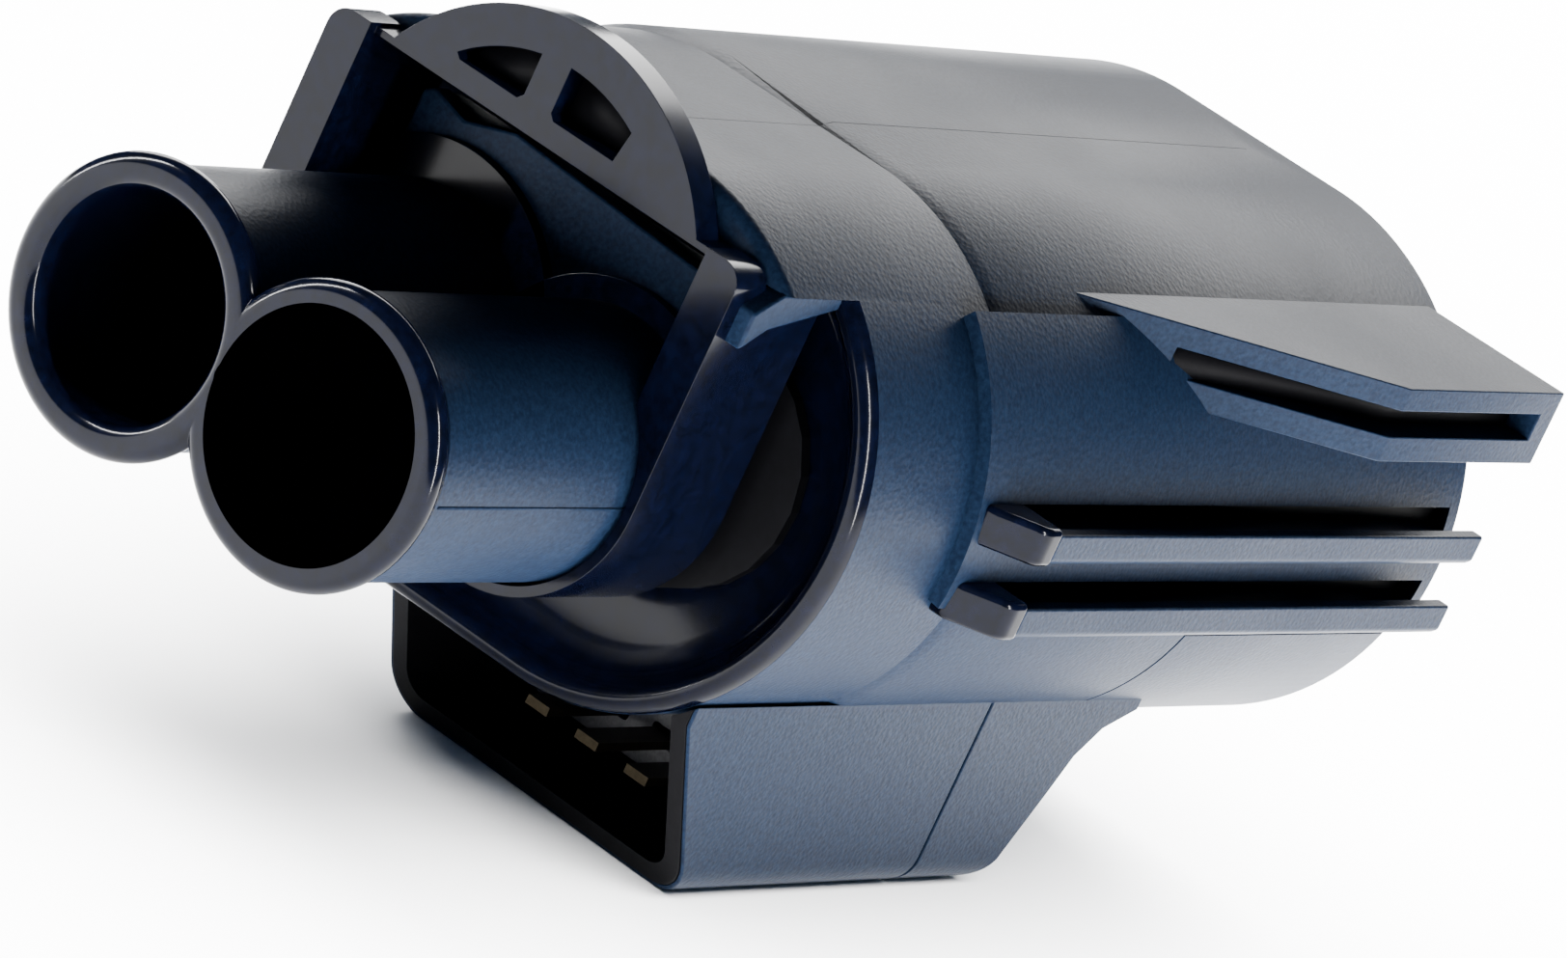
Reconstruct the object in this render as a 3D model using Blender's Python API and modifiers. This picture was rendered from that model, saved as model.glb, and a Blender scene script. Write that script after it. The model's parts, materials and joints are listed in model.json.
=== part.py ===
"""Compact motor-driven air pump with twin hose spigots, an obround moulded body and side guide rails.

Design frame, in metres: +Y runs from the spigot rims (Y = 0) to the back, +X is the side with the
guide rails, +Z is up, and Z = 0 is the height of the spigot axes. The empty AirPumpFrame carries
that frame to the object's own origin, under the middle of its bounding box.
"""

import math

import bmesh
import bpy
from mathutils import Matrix, Vector

MM = 0.001
GAP = 0.3 * MM

# Twin spigots
PORT_X = 10.1 * MM
PORT_BORE = 9.2 * MM
PORT_TUBE = 11.1 * MM
PORT_BEAD = 12.0 * MM
PORT_END = 38.6 * MM

# Front head: cheeks, pocket and vent hood
HEAD_FRONT = 27.0 * MM
HEAD_BACK = 39.5 * MM
HEAD_R = 12.3 * MM
HEAD_TOP = 21.5 * MM
CHEEK_IN = 18.5 * MM
HOOD_Y = (28.0 * MM, 31.0 * MM)
HOOD_Z = 11.0 * MM
HOOD_R = 19.5 * MM
CHORD_Z = (20.6 * MM, 22.7 * MM)

# Body shells: an obround, whose right lobe is concentric with its spigot and whose left lobe is set in
RIGHT_X = PORT_X
LEFT_X = -8.1 * MM
BODY_Z = 1.9 * MM
FRONT_R = 23.2 * MM
REAR_R = 23.6 * MM
PAD_R = 24.4 * MM
WALL = 2.2 * MM
BROW_Y = 31.3 * MM
BROW_Z = 20.3 * MM
FACE_Y = 39.8 * MM
STEP_Y = 59.0 * MM
BACK_Y = 130.0 * MM
SEAM_Y = 97.0 * MM
SEAM_Z = -5.0 * MM
CAP_Y = (125.0 * MM, 128.0 * MM)
CAP_R = REAR_R - WALL - GAP

# Guide rails and snap wedge on the +X side
RAIL_ROOTS = (7.6 * MM, 0.9 * MM)
RAIL_OUT = 38.2 * MM
RAIL_Y = (61.5 * MM, 127.0 * MM)
RAIL_DROP = 3.2 * MM
RAIL_LIP = 0.7 * MM
RAIL_WALL = 1.3 * MM
WEDGE_OUT = 38.6 * MM
WEDGE_Z = (14.6 * MM, 21.4 * MM)
WEDGE_SLOT = (16.9 * MM, 19.3 * MM)
WEDGE_Y = (74.5 * MM, 103.0 * MM, 128.0 * MM)

# Connector box under the body
BOX_X = (-6.5 * MM, 26.8 * MM)
BOX_BASE = -33.0 * MM
BOX_SPLIT = 83.0 * MM
BOX_WALL = 2.0 * MM
LEAD_X = (4.5 * MM, 10.1 * MM, 15.7 * MM)
PIN_Z = -27.5 * MM
LEAD_ROUTE = (
    (75.4 * MM, PIN_Z),
    (87.0 * MM, PIN_Z),
    (90.5 * MM, -26.0 * MM),
    (92.0 * MM, -23.0 * MM),
    (92.0 * MM, -18.0 * MM),
    (91.0 * MM, -16.6 * MM),
    (88.0 * MM, -16.3 * MM),
)

# Motor, impeller and volute, on the left lobe's axis
MOTOR_X = -PORT_X
MOTOR_R = 13.5 * MM
CAN_Y = (64.0 * MM, 92.0 * MM)
SHAFT_R = 1.6 * MM
SHAFT_END = 110.8 * MM
BEARING_BORE = 1.7 * MM
BEARING_R = 4.0 * MM
CORE_Y = (71.0 * MM, 87.0 * MM)
TEETH = 6
BLADES = 9
IMPELLER_R = 16.0 * MM
IMPELLER_Y = (104.0 * MM, 112.3 * MM)
VOLUTE_Y = (101.0 * MM, 118.0 * MM)
VOLUTE_R = 18.8 * MM

# Outlet duct and check valve, on the right lobe
DUCT_X = 15.5 * MM
DUCT_R = 10.0 * MM
DUCT_BORE = 8.6 * MM
VALVE_Y = (42.3 * MM, 57.9 * MM)
VALVE_X = 10.6 * MM
VALVE_Z = 0.2 * MM
FLAP_R = 5.8 * MM
FLAP_PIVOT = (53.2 * MM, 7.6 * MM)

# The bounding box's lower middle, in the design frame
ORIGIN = Vector(((WEDGE_OUT + LEFT_X - REAR_R) / 2, BACK_Y / 2, BOX_BASE))

for old in list(bpy.data.objects):
    bpy.data.objects.remove(old)

parts = bpy.data.collections.new("AirPump")
cutters = bpy.data.collections.new("AirPumpCutters")
cutters.hide_render = True
for collection in (parts, cutters):
    bpy.context.scene.collection.children.link(collection)

frame = bpy.data.objects.new("AirPumpFrame", None)
frame.location = -ORIGIN
parts.objects.link(frame)


# ---- Materials ---------------------------------------------------------------------------------


def material(name, colour, roughness, metallic=0.0):
    made = bpy.data.materials.new(name)
    made.use_nodes = True
    shader = made.node_tree.nodes["Principled BSDF"]
    shader.inputs["Base Color"].default_value = (*colour, 1)
    shader.inputs["Roughness"].default_value = roughness
    shader.inputs["Metallic"].default_value = metallic
    made.diffuse_color = (*colour, 1)
    return made


BLACK = (0.018, 0.022, 0.035)
GREY = (0.045, 0.055, 0.075)
STEEL = (0.62, 0.62, 0.64)


# ---- Shape helpers -----------------------------------------------------------------------------


def adopt(obj, colour=None, roughness=0.5, metallic=0.0):
    """Puts the object in the design frame, as a node with a colour or as a cutter without one."""
    obj.parent = frame
    if colour is None:
        cutters.objects.link(obj)
        obj.hide_render = True
        obj.display_type = "WIRE"
        return obj
    parts.objects.link(obj)
    if not obj.data.materials:
        obj.data.materials.append(material(obj.name, colour, roughness, metallic))
    obj.data.shade_smooth()
    obj.data.set_sharp_from_angle(angle=math.radians(35))
    return obj


def from_bmesh(name, bm, *look):
    bmesh.ops.recalc_face_normals(bm, faces=bm.faces)
    mesh = bpy.data.meshes.new(name)
    bm.to_mesh(mesh)
    bm.free()
    return adopt(bpy.data.objects.new(name, mesh), *look)


def box(name, x, y, z, *look):
    """A box between the two ends of x, y and z, with its origin in its middle."""
    bm = bmesh.new()
    bmesh.ops.create_cube(bm, size=1)
    bmesh.ops.scale(bm, vec=(x[1] - x[0], y[1] - y[0], z[1] - z[0]), verts=bm.verts)
    obj = from_bmesh(name, bm, *look)
    obj.location = (sum(x) / 2, sum(y) / 2, sum(z) / 2)
    return obj


def rod(name, x, z, radius, y, *look, segments=32):
    """A cylinder along Y."""
    bm = bmesh.new()
    bmesh.ops.create_cone(
        bm,
        cap_ends=True,
        segments=segments,
        radius1=radius,
        radius2=radius,
        depth=y[1] - y[0],
        matrix=Matrix.Rotation(math.pi / 2, 4, "X"),
    )
    obj = from_bmesh(name, bm, *look)
    obj.location = (x, sum(y) / 2, z)
    return obj


def prism(name, outlines, span, axis, *look):
    """Flat outlines, the later ones holes, extruded between the two ends of span along an axis."""
    curve = bpy.data.curves.new(name, "CURVE")
    curve.dimensions = "2D"
    curve.fill_mode = "BOTH"
    curve.extrude = (span[1] - span[0]) / 2
    for outline in outlines:
        spline = curve.splines.new("POLY")
        spline.points.add(len(outline) - 1)
        spline.use_cyclic_u = True
        for point, place in zip(spline.points, outline):
            point.co = (*place, 0, 1)
    flat = bpy.data.objects.new(name, curve)
    bpy.context.scene.collection.objects.link(flat)
    graph = bpy.context.evaluated_depsgraph_get()
    mesh = bpy.data.meshes.new_from_object(flat.evaluated_get(graph))
    bpy.data.objects.remove(flat)
    bm = bmesh.new()
    bm.from_mesh(mesh)
    bpy.data.meshes.remove(mesh)
    bmesh.ops.remove_doubles(bm, verts=bm.verts, dist=1e-6)
    obj = from_bmesh(name, bm, *look)
    middle = sum(span) / 2
    if axis == "Y":
        obj.rotation_euler.x = math.pi / 2
        obj.location.y = middle
    elif axis == "X":
        obj.rotation_euler = (math.pi / 2, 0, math.pi / 2)
        obj.location.x = middle
    else:
        obj.location.z = middle
    return obj


def turned(name, profile, x, z, *look, steps=32):
    """A profile of (radius, Y) points, turned about a line along Y. It runs down its outer side."""
    mesh = bpy.data.meshes.new(name)
    closed = profile[0][0] > 0
    edges = [(i, i + 1) for i in range(len(profile) - 1)]
    if closed:
        edges.append((len(profile) - 1, 0))
    mesh.from_pydata([(radius, 0, y) for radius, y in profile], edges, [])
    obj = bpy.data.objects.new(name, mesh)
    screw = obj.modifiers.new("Turn", "SCREW")
    screw.steps = screw.render_steps = steps
    screw.use_merge_vertices = True
    screw.merge_threshold = 1e-5
    obj.rotation_euler.x = -math.pi / 2
    obj.location = (x, 0, z)
    return adopt(obj, *look)


def tube_profile(outer, inner, y):
    return [(outer, y[1]), (outer, y[0]), (inner, y[0]), (inner, y[1])]


def boolean(obj, other, operation):
    modifier = obj.modifiers.new(f"{operation.title()} {other.name}", "BOOLEAN")
    modifier.operation = operation
    modifier.object = other
    modifier.solver = "EXACT"
    return obj


def cut(obj, *others):
    for other in others:
        boolean(obj, other, "DIFFERENCE")


def join(obj, *others):
    for other in others:
        boolean(obj, other, "UNION")


# ---- Outlines ----------------------------------------------------------------------------------


def arc(cx, cy, radius, start, end, count):
    """Points along an arc, from the start angle to the end angle in degrees."""
    angles = [math.radians(start + (end - start) * i / count) for i in range(count + 1)]
    return [(cx + radius * math.cos(a), cy + radius * math.sin(a)) for a in angles]


def circle(cx, cy, radius, count=32):
    return arc(cx, cy, radius, 0, 360 * (1 - 1 / count), count - 1)


def obround(radius, count=18):
    """The body's section: two half circles joined by flats."""
    return arc(RIGHT_X, BODY_Z, radius, -90, 90, count) + arc(LEFT_X, BODY_Z, radius, 90, 270, count)


def rounded(x, y, radius, count=4):
    """A rectangle with round corners."""
    corners = ((x[1], y[1], 0), (x[0], y[1], 90), (x[0], y[0], 180), (x[1], y[0], 270))
    points = []
    for cx, cy, start in corners:
        inx = cx - radius if cx == x[1] else cx + radius
        iny = cy - radius if cy == y[1] else cy + radius
        points += arc(inx, iny, radius, start, start + 90, count)
    return points


def hull_of_circles(left, right):
    """The outline round two unequal circles, each (x, z, radius), drawn tight like a belt."""
    across = Vector((right[0] - left[0], right[1] - left[1]))
    lean = math.degrees(math.atan2(across.y, across.x))
    spread = math.degrees(math.acos((left[2] - right[2]) / across.length))
    start, end = lean + spread, lean - spread + 360
    return arc(*right, lean - spread, lean + spread, 10) + arc(*left, start, end, 22)


# ---- Spigots -----------------------------------------------------------------------------------


def make_port_block():
    def spigot(name, x, *look):
        rim = [(0, PORT_END), (PORT_TUBE, PORT_END), (PORT_TUBE, 3.1 * MM), (11.7 * MM, 2.3 * MM)]
        rim += [(PORT_BEAD, 1.2 * MM), (11.8 * MM, 0.5 * MM), (11.0 * MM, 0), (0, 0)]
        return turned(name, rim, x, 0, *look, steps=40)

    block = spigot("twin_port_block", -PORT_X, BLACK, 0.35)
    flange_x = CHEEK_IN - 0.5 * MM
    flange_outline = rounded((-flange_x, flange_x), (-6 * MM, 17 * MM), 2.5 * MM)
    flange = prism("port_flange_solid", [flange_outline], (33 * MM, PORT_END), "Y")
    join(block, spigot("right_port_solid", PORT_X), flange)
    for side in (-1, 1):
        reach = (-1 * MM, PORT_END + 1 * MM)
        cut(block, rod(f"port_bore_{side}", side * PORT_X, 0, PORT_BORE, reach, segments=40))

    thickness = (PORT_END + GAP, HEAD_BACK)
    gasket = prism("port_gasket", [flange_outline], thickness, "Y", (0.03, 0.03, 0.03), 0.8)
    for side in (-1, 1):
        join(gasket, rod(f"gasket_ring_{side}", side * PORT_X, 0, PORT_TUBE, thickness))
    for side in (-1, 1):
        hole = (thickness[0] - 1 * MM, thickness[1] + 1 * MM)
        cut(gasket, rod(f"gasket_hole_{side}", side * PORT_X, 0, PORT_BORE + 0.2 * MM, hole))


# ---- Front head --------------------------------------------------------------------------------


def make_front_head():
    outer = HEAD_R + PORT_X
    ear = (outer - CHEEK_IN) / 2
    outline = arc(PORT_X, 0, HEAD_R, -90, 0, 10)
    outline += arc(outer - ear, HEAD_TOP - ear, ear, 0, 90, 4)
    outline += arc(ear - outer, HEAD_TOP - ear, ear, 90, 180, 4)
    outline += arc(-PORT_X, 0, HEAD_R, 180, 270, 10)
    depth = (HEAD_FRONT, HEAD_BACK)
    head = prism("front_head", [outline], depth, "Y", BLACK, 0.35)

    through = (HEAD_FRONT - 1 * MM, HEAD_BACK + 1 * MM)
    pocket = (-CHEEK_IN, CHEEK_IN)
    cut(head, box("head_pocket", pocket, through, (-6.3 * MM, 30 * MM)))
    under_brow = (BROW_Z - GAP, 40 * MM)
    cut(head, box("brow_clearance", (-40 * MM, 40 * MM), (HOOD_Y[1], 45 * MM), under_brow))
    for side in (-1, 1):
        clear = PORT_TUBE + GAP
        cut(head, rod(f"head_bore_{side}", side * PORT_X, 0, clear, through, segments=40))

    ends_z = CHORD_Z[0] + 0.6 * MM
    reach = math.degrees(math.acos((ends_z - HOOD_Z) / HOOD_R))
    side = CHEEK_IN + 1 * MM
    crescent = [(side, CHORD_Z[0]), (side, ends_z)]
    crescent += arc(0, HOOD_Z, HOOD_R, 90 - reach, 90 + reach, 20)
    crescent += [(-side, ends_z), (-side, CHORD_Z[0])]
    join(head, prism("hood_solid", [crescent], HOOD_Y, "Y"))
    for side in (-1, 1):
        window = [(side * 1.7 * MM, CHORD_Z[1]), (side * 9.0 * MM, CHORD_Z[1])]
        window += [(side * 9.4 * MM, 23.6 * MM), (side * 7.0 * MM, 25.3 * MM)]
        window += [(side * 4.4 * MM, 26.2 * MM), (side * 1.7 * MM, 26.5 * MM)]
        blind = (HOOD_Y[0] - 1 * MM, HOOD_Y[1] - 0.7 * MM)
        cut(head, prism(f"hood_window_{side}", [window], blind, "Y"))


# ---- Body shells -------------------------------------------------------------------------------


def make_front_shell():
    shell = prism("front_shell", [obround(FRONT_R)], (BROW_Y, STEP_Y), "Y", GREY, 0.5)
    below_brow = ((-40 * MM, 40 * MM), (BROW_Y - 1 * MM, FACE_Y), (-40 * MM, BROW_Z))
    cut(shell, box("face_recess", *below_brow))
    inside = (FACE_Y + WALL, STEP_Y + 1 * MM)
    cut(shell, prism("front_hollow", [obround(FRONT_R - WALL)], inside, "Y"))
    for side in (-1, 1):
        wall = (FACE_Y - 1 * MM, FACE_Y + WALL + 1 * MM)
        cut(shell, rod(f"face_bore_{side}", side * PORT_X, 0, PORT_BORE, wall, segments=40))
    lip_in = FRONT_R - WALL - 1.4 * MM
    root = [obround(FRONT_R - WALL + 0.4 * MM), obround(lip_in)]
    lip = [obround(REAR_R - WALL - 0.5 * MM), obround(lip_in)]
    join(shell, prism("lip_root", root, (55 * MM, STEP_Y - 0.2 * MM), "Y"))
    join(shell, prism("lip_ring", lip, (55 * MM, STEP_Y + 4 * MM), "Y"))


def side_pad():
    """The raised panel that carries the rails, as a ring sector on the right lobe."""
    low, high = -8, 50
    outer = arc(PORT_X, BODY_Z, PAD_R, low, high, 14)
    inner = arc(PORT_X, BODY_Z, FRONT_R - 1 * MM, high, low, 8)
    return prism("pad_solid", [outer + inner], (STEP_Y + GAP, BACK_Y), "Y")


def rail(number, root):
    """An upward-opening channel: a web, a lip, and a block that closes its front end."""
    base, out, inner = root - RAIL_DROP, RAIL_OUT, 30 * MM
    web = base + RAIL_WALL
    lip = [(inner, base), (out - 0.5 * MM, base), (out, base + 0.5 * MM), (out, root - RAIL_LIP)]
    lip += [(out - RAIL_WALL, root - RAIL_LIP), (out - RAIL_WALL, web), (inner, web)]
    bar = prism(f"rail_{number}_solid", [lip], RAIL_Y, "Y")
    tip, heel = RAIL_Y[0] - 1.8 * MM, RAIL_Y[0] + 2.4 * MM
    nose = [(inner, heel), (inner, tip), (33 * MM, tip), (out, RAIL_Y[0]), (out, heel)]
    end = prism(f"rail_{number}_end", [nose], (base, root - 0.2 * MM), "Z")
    return bar, end


def wedge():
    start, shoulder, end = WEDGE_Y
    outline = [(20 * MM, start - 8 * MM), (24.5 * MM, start), (WEDGE_OUT, shoulder)]
    outline += [(WEDGE_OUT, end), (20 * MM, end)]
    solid = prism("wedge_solid", [outline], WEDGE_Z, "Z")
    inset = 4.5 * MM
    slot = [(26.5 * MM, start + 8 * MM), (WEDGE_OUT - inset, shoulder + 2 * MM)]
    slot += [(WEDGE_OUT - inset, end - 2.4 * MM), (45 * MM, end - 2.4 * MM), (45 * MM, start + 8 * MM)]
    return solid, prism("wedge_slot", [slot], WEDGE_SLOT, "Z")


def rear_body(name, *look):
    """The rear half's full shell, before its tail cover is parted off."""
    return prism(name, [obround(REAR_R)], (STEP_Y + GAP, BACK_Y), "Y", *look)


def boss_places():
    reach = REAR_R - WALL - 3.0 * MM
    top = [(0, BODY_Z + reach), (RIGHT_X + reach, BODY_Z), (LEFT_X - reach, BODY_Z)]
    return top, [(0, BODY_Z - reach)]


def boss(number, place):
    outline = arc(*place, 2.8 * MM, 0, 345, 23)
    outward = math.copysign(1, place[0]) if place[0] else 0
    upward = 0 if place[0] else math.copysign(1, place[1])
    web = (abs(outward) * 3.4 * MM + 1.2 * MM, abs(upward) * 3.4 * MM + 1.2 * MM)
    middle = (place[0] + outward * 2.2 * MM, place[1] + upward * 2.2 * MM)
    depth = (119.5 * MM, CAP_Y[0] - GAP)
    post = prism(f"boss_{number}_solid", [outline], depth, "Y")
    rib = box(
        f"boss_{number}_rib",
        (middle[0] - web[0] / 2, middle[0] + web[0] / 2),
        depth,
        (middle[1] - web[1] / 2, middle[1] + web[1] / 2),
    )
    hole = rod(f"boss_{number}_hole", *place, 1.5 * MM, (119 * MM, 131 * MM), segments=16)
    return post, rib, hole


def make_rear_shell():
    shell = rear_body("rear_shell", GREY, 0.5)
    join(shell, side_pad())
    for number, root in enumerate(RAIL_ROOTS, 1):
        join(shell, *rail(number, root))
    block, slot = wedge()
    join(shell, block)
    cut(shell, slot)
    inside = (STEP_Y - 1 * MM, BACK_Y + 1 * MM)
    hollow = prism("rear_hollow", [obround(REAR_R - WALL)], inside, "Y")
    cut(shell, hollow)
    lead_hole = box("lead_hole", (1 * MM, 19 * MM), (89.5 * MM, 94.5 * MM), (-30 * MM, -15 * MM))
    tail_gap = box("tail_gap", (-50 * MM, 50 * MM), (SEAM_Y, 140 * MM), (-50 * MM, SEAM_Z))
    cut(shell, lead_hole, tail_gap)

    tail = rear_body("tail_cover", GREY, 0.5)
    cut(tail, hollow)
    below = (-50 * MM, SEAM_Z - GAP)
    boolean(tail, box("tail_zone", (-50 * MM, 50 * MM), (SEAM_Y + GAP, 140 * MM), below), "INTERSECT")

    upper, lower = boss_places()
    for number, place in enumerate(upper + lower, 1):
        owner = tail if place in lower else shell
        post, rib, hole = boss(number, place)
        join(owner, post, rib)
        cut(owner, hole)


def make_rear_cap():
    places = [place for group in boss_places() for place in group]
    holes = [circle(*place, 1.5 * MM, 16) for place in places]
    prism("rear_cap", [obround(CAP_R), *holes], CAP_Y, "Y", GREY, 0.5)
    head, tip = CAP_Y[1] + GAP, 120.5 * MM
    for number, place in enumerate(places, 1):
        profile = [(0, head + 1.4 * MM), (2.2 * MM, head + 1.4 * MM), (2.5 * MM, head + 0.9 * MM)]
        profile += [(2.5 * MM, head), (1.2 * MM, head), (1.2 * MM, tip + 1 * MM), (0, tip)]
        turned(f"cap_screw_{number}", profile, *place, STEEL, 0.3, 1.0, steps=16)


# ---- Connector box -----------------------------------------------------------------------------


def make_connector_box():
    top = -12 * MM
    body_clear = (30 * MM, 112 * MM)
    body = prism("body_clearance", [obround(REAR_R + GAP, count=24)], body_clear, "Y")

    side = [(41.0 * MM, top), (41.0 * MM, -16.5 * MM), (51.5 * MM, BOX_BASE)]
    side += [(BOX_SPLIT, BOX_BASE), (BOX_SPLIT, top)]
    housing = prism("connector_housing", [side], BOX_X, "X", GREY, 0.5)
    inside_x = (BOX_X[0] + BOX_WALL, BOX_X[1] - BOX_WALL)
    mouth = (30 * MM, BOX_SPLIT + 1 * MM)
    cavity = rounded(inside_x, (BOX_BASE + BOX_WALL, 5 * MM), 2 * MM)
    edge = rounded(BOX_X, (BOX_BASE, 30 * MM), 3.5 * MM)
    boolean(housing, prism("housing_edge", [edge], (20 * MM, 90 * MM), "Y"), "INTERSECT")
    cut(housing, prism("housing_cavity", [cavity], mouth, "Y"), body)

    back = [(BOX_SPLIT + GAP, top), (BOX_SPLIT + GAP, BOX_BASE), (90 * MM, BOX_BASE)]
    back += [(96 * MM, -30.5 * MM), (97.6 * MM, -26 * MM), (99 * MM, -21.5 * MM)]
    back += [(101.5 * MM, -18 * MM), (106 * MM, -15.5 * MM), (106 * MM, top)]
    cover = prism("harness_cover", [back], BOX_X, "X", GREY, 0.5)
    rear_edge = prism("cover_edge", [edge], (80 * MM, 110 * MM), "Y")
    boolean(cover, rear_edge, "INTERSECT")
    cut(cover, prism("cover_cavity", [cavity], (80 * MM, 94.8 * MM), "Y"), body)

    block_x = (BOX_X[0] + BOX_WALL + GAP, BOX_X[1] - BOX_WALL - GAP)
    block_z = (BOX_BASE + BOX_WALL + GAP, -22.4 * MM)
    outline = rounded(block_x, block_z, 2 * MM)
    slots = [rounded((x - 1.6 * MM, x + 1.6 * MM), (PIN_Z - 0.8 * MM, PIN_Z + 0.8 * MM), 0.3 * MM, 2)
             for x in LEAD_X]
    prism("terminal_block", [outline, *slots], (66 * MM, 72 * MM), "Y", (0.5, 0.5, 0.46), 0.5)
    for number, x in enumerate(LEAD_X, 1):
        blade = ((x - 1.2 * MM, x + 1.2 * MM), (55 * MM, 75 * MM), (PIN_Z - 0.4 * MM, PIN_Z + 0.4 * MM))
        box(f"terminal_pin_{number}", *blade, (0.72, 0.6, 0.36), 0.3, 1.0)


def make_leads():
    colours = ((0.4, 0.03, 0.03), (0.02, 0.02, 0.02), (0.05, 0.12, 0.4))
    for number, (x, colour) in enumerate(zip(LEAD_X, colours), 1):
        curve = bpy.data.curves.new(f"lead_{number}", "CURVE")
        curve.dimensions = "3D"
        curve.bevel_depth = 0.8 * MM
        curve.bevel_resolution = 2
        curve.use_fill_caps = True
        curve.materials.append(material(f"lead_{number}", colour, 0.5))
        spline = curve.splines.new("POLY")
        spline.points.add(len(LEAD_ROUTE) - 1)
        for point, (y, z) in zip(spline.points, LEAD_ROUTE):
            point.co = (x, y, z, 1)
        lead = bpy.data.objects.new(f"lead_{number}", curve)
        lead.parent = frame
        parts.objects.link(lead)


# ---- Motor -------------------------------------------------------------------------------------


def on_motor(name, profile, *look, steps=32):
    return turned(name, profile, MOTOR_X, BODY_Z, *look, steps=steps)


def make_motor():
    inner, front, back = MOTOR_R - 0.9 * MM, *CAN_Y
    cup, bore = BEARING_R + 1.3 * MM, BEARING_R + GAP
    wall = 1.2 * MM
    can = [(MOTOR_R, back), (MOTOR_R, front), (bore, front), (bore, front + 4.5 * MM)]
    can += [(cup, front + 4.5 * MM), (cup, front + wall), (inner, front + wall), (inner, back)]
    on_motor("motor_can", can, (0.55, 0.56, 0.58), 0.35, 1.0)

    near, far = back + GAP, back + GAP + wall
    plate = [(MOTOR_R, far), (MOTOR_R, near), (cup, near), (cup, near - 3 * MM)]
    plate += [(bore, near - 3 * MM), (bore, far)]
    on_motor("motor_end_plate", plate, (0.55, 0.56, 0.58), 0.4, 1.0)
    for name, start in (("front_bearing", front + 0.8 * MM), ("rear_bearing", near - 2.4 * MM)):
        ring = tube_profile(BEARING_R, BEARING_BORE, (start, start + 3 * MM))
        on_motor(name, ring, STEEL, 0.25, 1.0, steps=24)

    core_r, slot_r, bore_r, half = 12.3 * MM, 11.0 * MM, 8.4 * MM, 1.5 * MM
    teeth = []
    for tooth in range(TEETH):
        middle = math.radians(60 * tooth)
        for radius, side in ((slot_r, -1), (bore_r, -1), (bore_r, 1), (slot_r, 1)):
            turn = middle + side * math.asin(half / radius)
            teeth.append((radius * math.cos(turn), radius * math.sin(turn)))
        for step in (20, 30, 40):
            turn = middle + math.radians(step)
            teeth.append((slot_r * math.cos(turn), slot_r * math.sin(turn)))
    outlines = [circle(0, 0, core_r), teeth]
    core = prism("stator_core", outlines, CORE_Y, "Y", (0.35, 0.36, 0.38), 0.45, 1.0)
    core.location.x, core.location.z = MOTOR_X, BODY_Z

    length = CORE_Y[1] - CORE_Y[0]
    hub = bpy.data.objects.new("WindingHub", None)
    hub.location = (MOTOR_X, sum(CORE_Y) / 2, BODY_Z)
    hub.parent = frame
    parts.objects.link(hub)
    mesh = None
    for number in range(1, TEETH + 1):
        if mesh is None:
            outer, inner_y = length / 2 + 1.4 * MM, length / 2 + GAP
            frame_outline = rounded((-2.7 * MM, 2.7 * MM), (-outer, outer), 1 * MM, 3)
            window = rounded((-1.8 * MM, 1.8 * MM), (-inner_y, inner_y), 0.2 * MM, 1)
            look = ((0.6, 0.27, 0.12), 0.35, 1.0)
            coil = prism("winding_1", [frame_outline, window], (8.8 * MM, 10.2 * MM), "Z", *look)
            mesh = coil.data
            mesh.transform(Matrix.Translation((0, 0, coil.location.z)))
        else:
            coil = adopt(bpy.data.objects.new(f"winding_{number}", mesh), (0, 0, 0))
        coil.parent = hub
        coil.location = (0, 0, 0)
        coil.rotation_euler.y = math.radians(90 + 60 * (number - 1))

    magnet = tube_profile(7.7 * MM, SHAFT_R + GAP, (72 * MM, 86 * MM))
    on_motor("rotor_magnet", magnet, (0.12, 0.12, 0.13), 0.5, 0.6)
    start = CAN_Y[0] + 0.6 * MM
    shaft = [(0, SHAFT_END), (SHAFT_R, SHAFT_END), (SHAFT_R, start), (0, start)]
    on_motor("shaft", shaft, STEEL, 0.2, 1.0, steps=24)

    for name, start in (("front_grommet", 68 * MM), ("rear_grommet", 84 * MM)):
        ring = tube_profile(MOTOR_R + 1.6 * MM, MOTOR_R + GAP, (start, start + 4 * MM))
        on_motor(name, ring, (0.02, 0.02, 0.02), 0.85)

    hollow = REAR_R - WALL - GAP
    holes = [circle(MOTOR_X, BODY_Z, MOTOR_R + 1.9 * MM), circle(DUCT_X, BODY_Z, DUCT_R + GAP, 28)]
    holes += [circle(3.5 * MM, BODY_Z + side * 15 * MM, 3 * MM, 16) for side in (-1, 1)]
    plate = (68.5 * MM, 71.5 * MM)
    prism("motor_bulkhead", [obround(hollow), *holes], plate, "Y", (0.05, 0.05, 0.06), 0.6)


# ---- Impeller, volute and duct -----------------------------------------------------------------


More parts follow.
